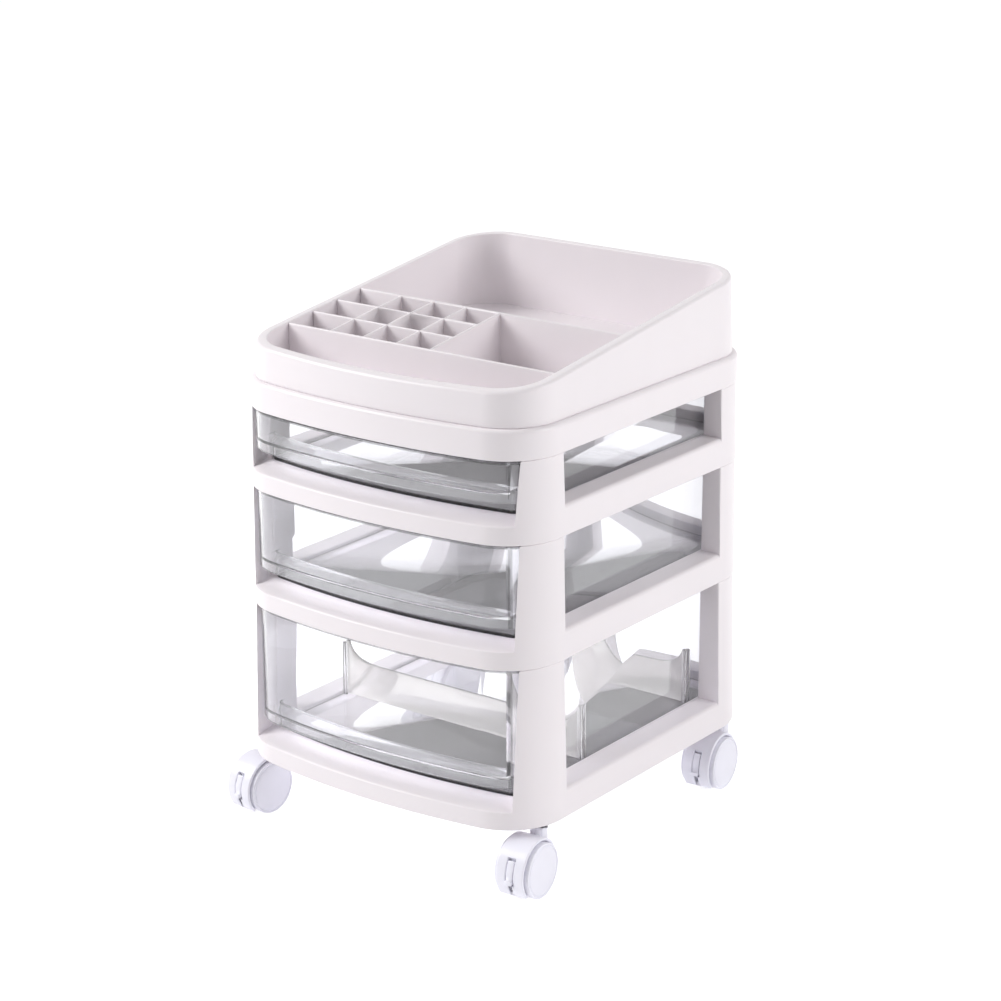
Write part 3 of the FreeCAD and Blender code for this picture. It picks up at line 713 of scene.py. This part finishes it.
class DressTray(bpy.types.Operator):
    """Rounds and finishes the slanted tray and the walls between its compartments."""
    bl_idname = "tower.dress_tray"
    bl_label = "Tray"

    def execute(self, context):
        bowl = copy_of("top_tray", "tray_shell")
        soften(bowl, edges().tray)
        true_walls(bowl, plan_normal)
        dress(bowl, body_plastic(), "body_plastic", "tray", "top_tray")
        grid = copy_of("tray_partitions", "tray_grid")
        joined(grid)
        soften(grid, edges().tray)
        dress(grid, body_plastic(), "body_plastic", "tray", "tray_partitions")
        return {"FINISHED"}


class DressDrawers(bpy.types.Operator):
    """Rounds and finishes the clear drawers."""
    bl_idname = "tower.dress_drawers"
    bl_label = "Drawers"

    def execute(self, context):
        clear = material_named("clear_sheet", clear_plastic, (*finishes().drawer, 1.0), 0.008, 0.035)
        for tier in TIERS:
            low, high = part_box(tier + "_drawer")
            foot, top = low[2] + FOOT_SHADE_STRIP, high[2] - TOP_SHADE_STRIP
            piece = copy_of(tier + "_drawer", tier + "_drawer_shell")
            cut_level(piece, foot)
            cut_level(piece, top)
            soften(piece, edges().drawer, segments=2)
            true_walls(piece, plan_normal, least_area=DRAWER_WALL_AREA)
            # Painted shade on the sheets' edges, the foot strip and the top strip.
            mark_painted_edge_shade(piece, DRAWER_WALL, foot, top)
            dress(piece, clear, "clear_plastic", tier + "_drawer", tier + "_drawer")
        return {"FINISHED"}


class DressDividers(bpy.types.Operator):
    """Rounds and finishes the lower drawer's lift-out dividers."""
    bl_idname = "tower.dress_dividers"
    bl_label = "Dividers"

    def execute(self, context):
        milky = material_named("cream_sheet", clear_plastic, (*finishes().divider, 1.0), 0.05, 0.3)
        for end in ("front", "rear"):
            piece = copy_of(end + "_drawer_divider", end + "_divider_plate")
            soften(piece, edges().drawer, segments=2)
            # Painted shade on the plates' edges.
            mark_painted_edge_shade(piece, DRAWER_WALL)
            dress(piece, milky, "divider_plastic", end + "_divider", end + "_drawer_divider")
        return {"FINISHED"}


class BuildCasters(bpy.types.Operator):
    """Models the twin wheels and finishes the hoods, levers, stems and axles."""
    bl_idname = "tower.build_casters"
    bl_label = "Casters"

    def execute(self, context):
        colour = (*finishes().caster, 1.0)
        # The hoods and levers take the casters' white 3 % brighter: painted light that makes up for the shade
        # under the tower.
        nylon = material_named("cool_white_plastic", moulded_plastic, shaded(colour, 1.03), 0.26, 4e-6)
        tread = material_named("wheel_nylon", tread_nylon, colour)
        steel = material_named("plated_steel", plated_steel, (*finishes().steel, 1.0))
        right = wheel_blank()
        only(right)
        bpy.ops.object.duplicate()
        left = bpy.context.object
        mirror_in_x(left)
        for side, end in CORNERS:
            corner = "caster_" + end + "_" + side
            for blank, letter in ((right, "a"), (left, "b")):
                piece = blank.copy()
                piece.data = blank.data.copy()
                piece.name = corner + "_wheel_disc_" + letter
                context.scene.collection.objects.link(piece)
                to_corner(piece, side, end)
                node = corner + "_wheel_" + letter
                dress(piece, tread, "caster_plastic", node, node)
            normal_at = axle_normal(side, end)
            hood = copy_of(corner + "_hood", corner + "_barrel")
            soften(hood, edges().hood, hood_weight(normal_at), 4)
            true_walls(hood, normal_at)
            dress(hood, nylon, "caster_plastic", corner + "_swivel", corner + "_hood")
            lever = copy_of(corner + "_brake_lever", corner + "_brake_tab")
            soften(lever, LEVER_EDGE)
            dress(lever, nylon, "caster_plastic", corner + "_brake_lever", corner + "_brake_lever")
            axle = copy_of(corner + "_axle", corner + "_axle_pin")
            soften(axle, AXLE_EDGE, segments=2)
            dress(axle, steel, "steel", corner + "_swivel", corner + "_axle")
        for blank in (right, left):
            bpy.data.objects.remove(blank)
        stems = copy_of("caster_stems", "caster_stem_pins")
        soften(stems, STEM_EDGE)
        dress(stems, steel, "steel", "tower", "caster_stems")
        return {"FINISHED"}


class SetStage(bpy.types.Operator):
    """Makes the pale floor, the soft lamps, the surround and the camera."""
    bl_idname = "tower.set_stage"
    bl_label = "Stage"

    def execute(self, context):
        scene = context.scene
        scene.view_settings.view_transform = "Standard"
        make_floor(scene.tower_stage)
        make_world(scene, scene.tower_stage)
        lamp("Key", *KEY_PLACE, scene.tower_stage.key)
        lamp("Side", *SIDE_PLACE, scene.tower_stage.side)
        make_camera(scene)
        return {"FINISHED"}


def make_floor(settings):
    """A pale floor that lifts to white where it is seen, and keeps the tower's shadow."""
    bpy.ops.mesh.primitive_plane_add(size=FLOOR_SIZE, location=(0, 0, 0))
    floor = bpy.context.object
    floor.name = "floor"
    finish = Finish("floor", Roughness=0.9, Specular_IOR_Level=0.1)
    fleck = finish.ramp(finish.noise(3.0, 2.0), 0.2, 0.8)
    colour = (*settings.floor, 1.0)
    finish.set(Base_Color=finish.mix(fleck, shaded(colour, 0.99), colour),
               Emission_Color=(1, 1, 1, 1),
               Emission_Strength=finish.seen_directly() * FLOOR_SEEN + FLOOR_GLOW)
    floor.data.materials.append(finish.material)


def make_world(scene, settings):
    world = bpy.data.worlds.new("surround")
    scene.world = world
    world.use_nodes = True
    wiring = Wiring(world.node_tree)
    background = wiring.tree.nodes["Background"]
    background.inputs["Color"].default_value = (1, 1, 1, 1)
    seen = wiring.seen_directly()
    wiring.feed(background.inputs["Strength"], settings.surround + seen * (1 - settings.surround))


def lamp(name, bearing, height, power):
    """A square soft lamp that faces the tower: its bearing from the front and its height, in degrees."""
    turn, rise = math.radians(bearing), math.radians(height)
    away = Vector((math.sin(turn) * math.cos(rise), -math.cos(turn) * math.cos(rise), math.sin(rise)))
    data = bpy.data.lights.new(name, "AREA")
    data.energy = power
    data.size = LAMP_SIZE
    made = bpy.data.objects.new(name, data)
    made.location = LAMP_TARGET + away * LAMP_DISTANCE
    made.rotation_euler = away.to_track_quat("Z", "Y").to_euler()
    bpy.context.scene.collection.objects.link(made)


def make_camera(scene):
    """The photograph's viewpoint, direction, roll and focal length."""
    data = bpy.data.cameras.new("Camera")
    data.lens = CAMERA_LENS
    data.sensor_width = SENSOR_W
    data.sensor_fit = "HORIZONTAL"
    data.clip_start = 0.05
    data.clip_end = 60
    camera = bpy.data.objects.new("Camera", data)
    level = math.cos(CAMERA_ELEVATION)
    ahead = Vector((-math.sin(CAMERA_AZIMUTH) * level, math.cos(CAMERA_AZIMUTH) * level,
                    -math.sin(CAMERA_ELEVATION)))
    right = ahead.cross(Vector((0, 0, 1))).normalized()
    up = right.cross(ahead)
    turned_right = right * math.cos(CAMERA_ROLL) + up * math.sin(CAMERA_ROLL)
    turned_up = up * math.cos(CAMERA_ROLL) - right * math.sin(CAMERA_ROLL)
    turn = Matrix((turned_right, turned_up, -ahead)).transposed().to_4x4()
    camera.matrix_world = Matrix.Translation(CAMERA_PLACE) @ turn
    scene.collection.objects.link(camera)
    scene.camera = camera


class TowerPanel(bpy.types.Panel):
    """The tower's settings and steps in the sidebar."""
    bl_idname = "VIEW3D_PT_drawer_tower"
    bl_label = "Drawer tower"
    bl_space_type = "VIEW_3D"
    bl_region_type = "UI"
    bl_category = "Drawer tower"

    def draw(self, context):
        for group in (context.scene.tower_finishes, context.scene.tower_edges, context.scene.tower_stage):
            box = self.layout.box()
            for name in group.__annotations__:
                box.prop(group, name)
        for step in STEPS:
            self.layout.operator(step.bl_idname)


STEPS = (SetStage, DressTiers, DressTray, DressDrawers, DressDividers, BuildCasters)
CLASSES = (TowerFinishes, TowerEdges, StageSettings, *STEPS, TowerPanel)


def register():
    for cls in CLASSES:
        bpy.utils.register_class(cls)
    bpy.types.Scene.tower_finishes = bpy.props.PointerProperty(type=TowerFinishes)
    bpy.types.Scene.tower_edges = bpy.props.PointerProperty(type=TowerEdges)
    bpy.types.Scene.tower_stage = bpy.props.PointerProperty(type=StageSettings)


def unregister():
    for name in ("tower_stage", "tower_edges", "tower_finishes"):
        delattr(bpy.types.Scene, name)
    for cls in reversed(CLASSES):
        bpy.utils.unregister_class(cls)


def main():
    register()
    for step in STEPS:
        group, name = step.bl_idname.split(".")
        getattr(getattr(bpy.ops, group), name)()


if __name__ == "__main__":
    main()
